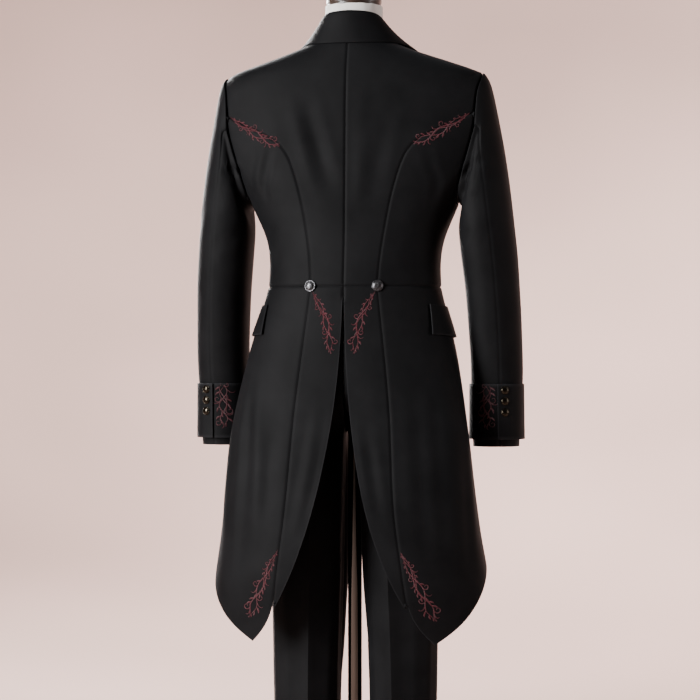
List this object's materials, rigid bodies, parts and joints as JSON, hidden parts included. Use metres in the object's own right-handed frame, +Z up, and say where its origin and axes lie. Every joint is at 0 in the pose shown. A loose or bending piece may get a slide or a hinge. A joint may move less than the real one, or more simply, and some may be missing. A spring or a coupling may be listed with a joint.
{
  "type": "three-piece tailcoat tuxedo on a limbless dress form",
  "caption": "Black tailcoat with turned-back cuffs and long tails over a waistcoat and trousers, worn by a limbless torso form on a pole and round base.",
  "frame": {"origin": "centre of the underside of the stand's round base, where the part stands on the floor", "axes": "+Z up along the pole; the garment's front faces -Y; the wearer's left is +X"},
  "size_m": [0.5944, 0.38, 1.583],
  "materials": {
    "black_wool": "fine twill wool, matt with a soft sheen",
    "black_satin": "silk satin facing",
    "waistcoat_wool": "smooth wool",
    "white_linen": "plain linen cover",
    "dark_walnut": "oiled",
    "chrome": "polished",
    "black_base_paint": "satin",
    "pewter": "tarnished, worn on the high parts",
    "antique_brass": "antiqued",
    "black_horn": "polished"
  },
  "bodies": {
    "root": {"coat_back_left": "black_wool", "coat_back_right": "black_wool", "coat_side_back_left": "black_wool", "coat_side_back_right": "black_wool", "coat_front_left": "black_wool", "coat_front_right": "black_wool", "coat_skirt_back_left": "black_wool", "coat_skirt_back_right": "black_wool", "coat_skirt_side_left": "black_wool", "coat_skirt_side_right": "black_wool", "pocket_flap_left": "black_wool", "pocket_flap_right": "black_wool", "cuff_left": "black_wool", "cuff_right": "black_wool", "sleeve_under_left": "black_wool", "sleeve_under_right": "black_wool", "sleeve_top_left": "black_wool", "sleeve_top_right": "black_wool", "lapel_left": "black_satin", "waistcoat_back_left": "waistcoat_wool", "waistcoat_front_left": "waistcoat_wool", "trouser_back_left": "black_wool", "trouser_front_left": "black_wool", "waist_button_left": "pewter", "cuff_button_1_left": "antique_brass", "cuff_button_2_left": "antique_brass", "cuff_button_3_left": "antique_brass", "lapel_right": "black_satin", "waistcoat_back_right": "waistcoat_wool", "waistcoat_front_right": "waistcoat_wool", "trouser_back_right": "black_wool", "trouser_front_right": "black_wool", "waist_button_right": "pewter", "cuff_button_1_right": "antique_brass", "cuff_button_2_right": "antique_brass", "cuff_button_3_right": "antique_brass", "collar": "black_wool", "trouser_waistband": "black_wool", "form_torso": "white_linen", "form_neck_cap": "dark_walnut", "stand_pole": "chrome", "stand_base": "black_base_paint", "coat_button": "pewter", "waistcoat_button_1": "black_horn", "waistcoat_button_2": "black_horn", "waistcoat_button_3": "black_horn", "waistcoat_button_4": "black_horn"}
  },
  "joints": []
}
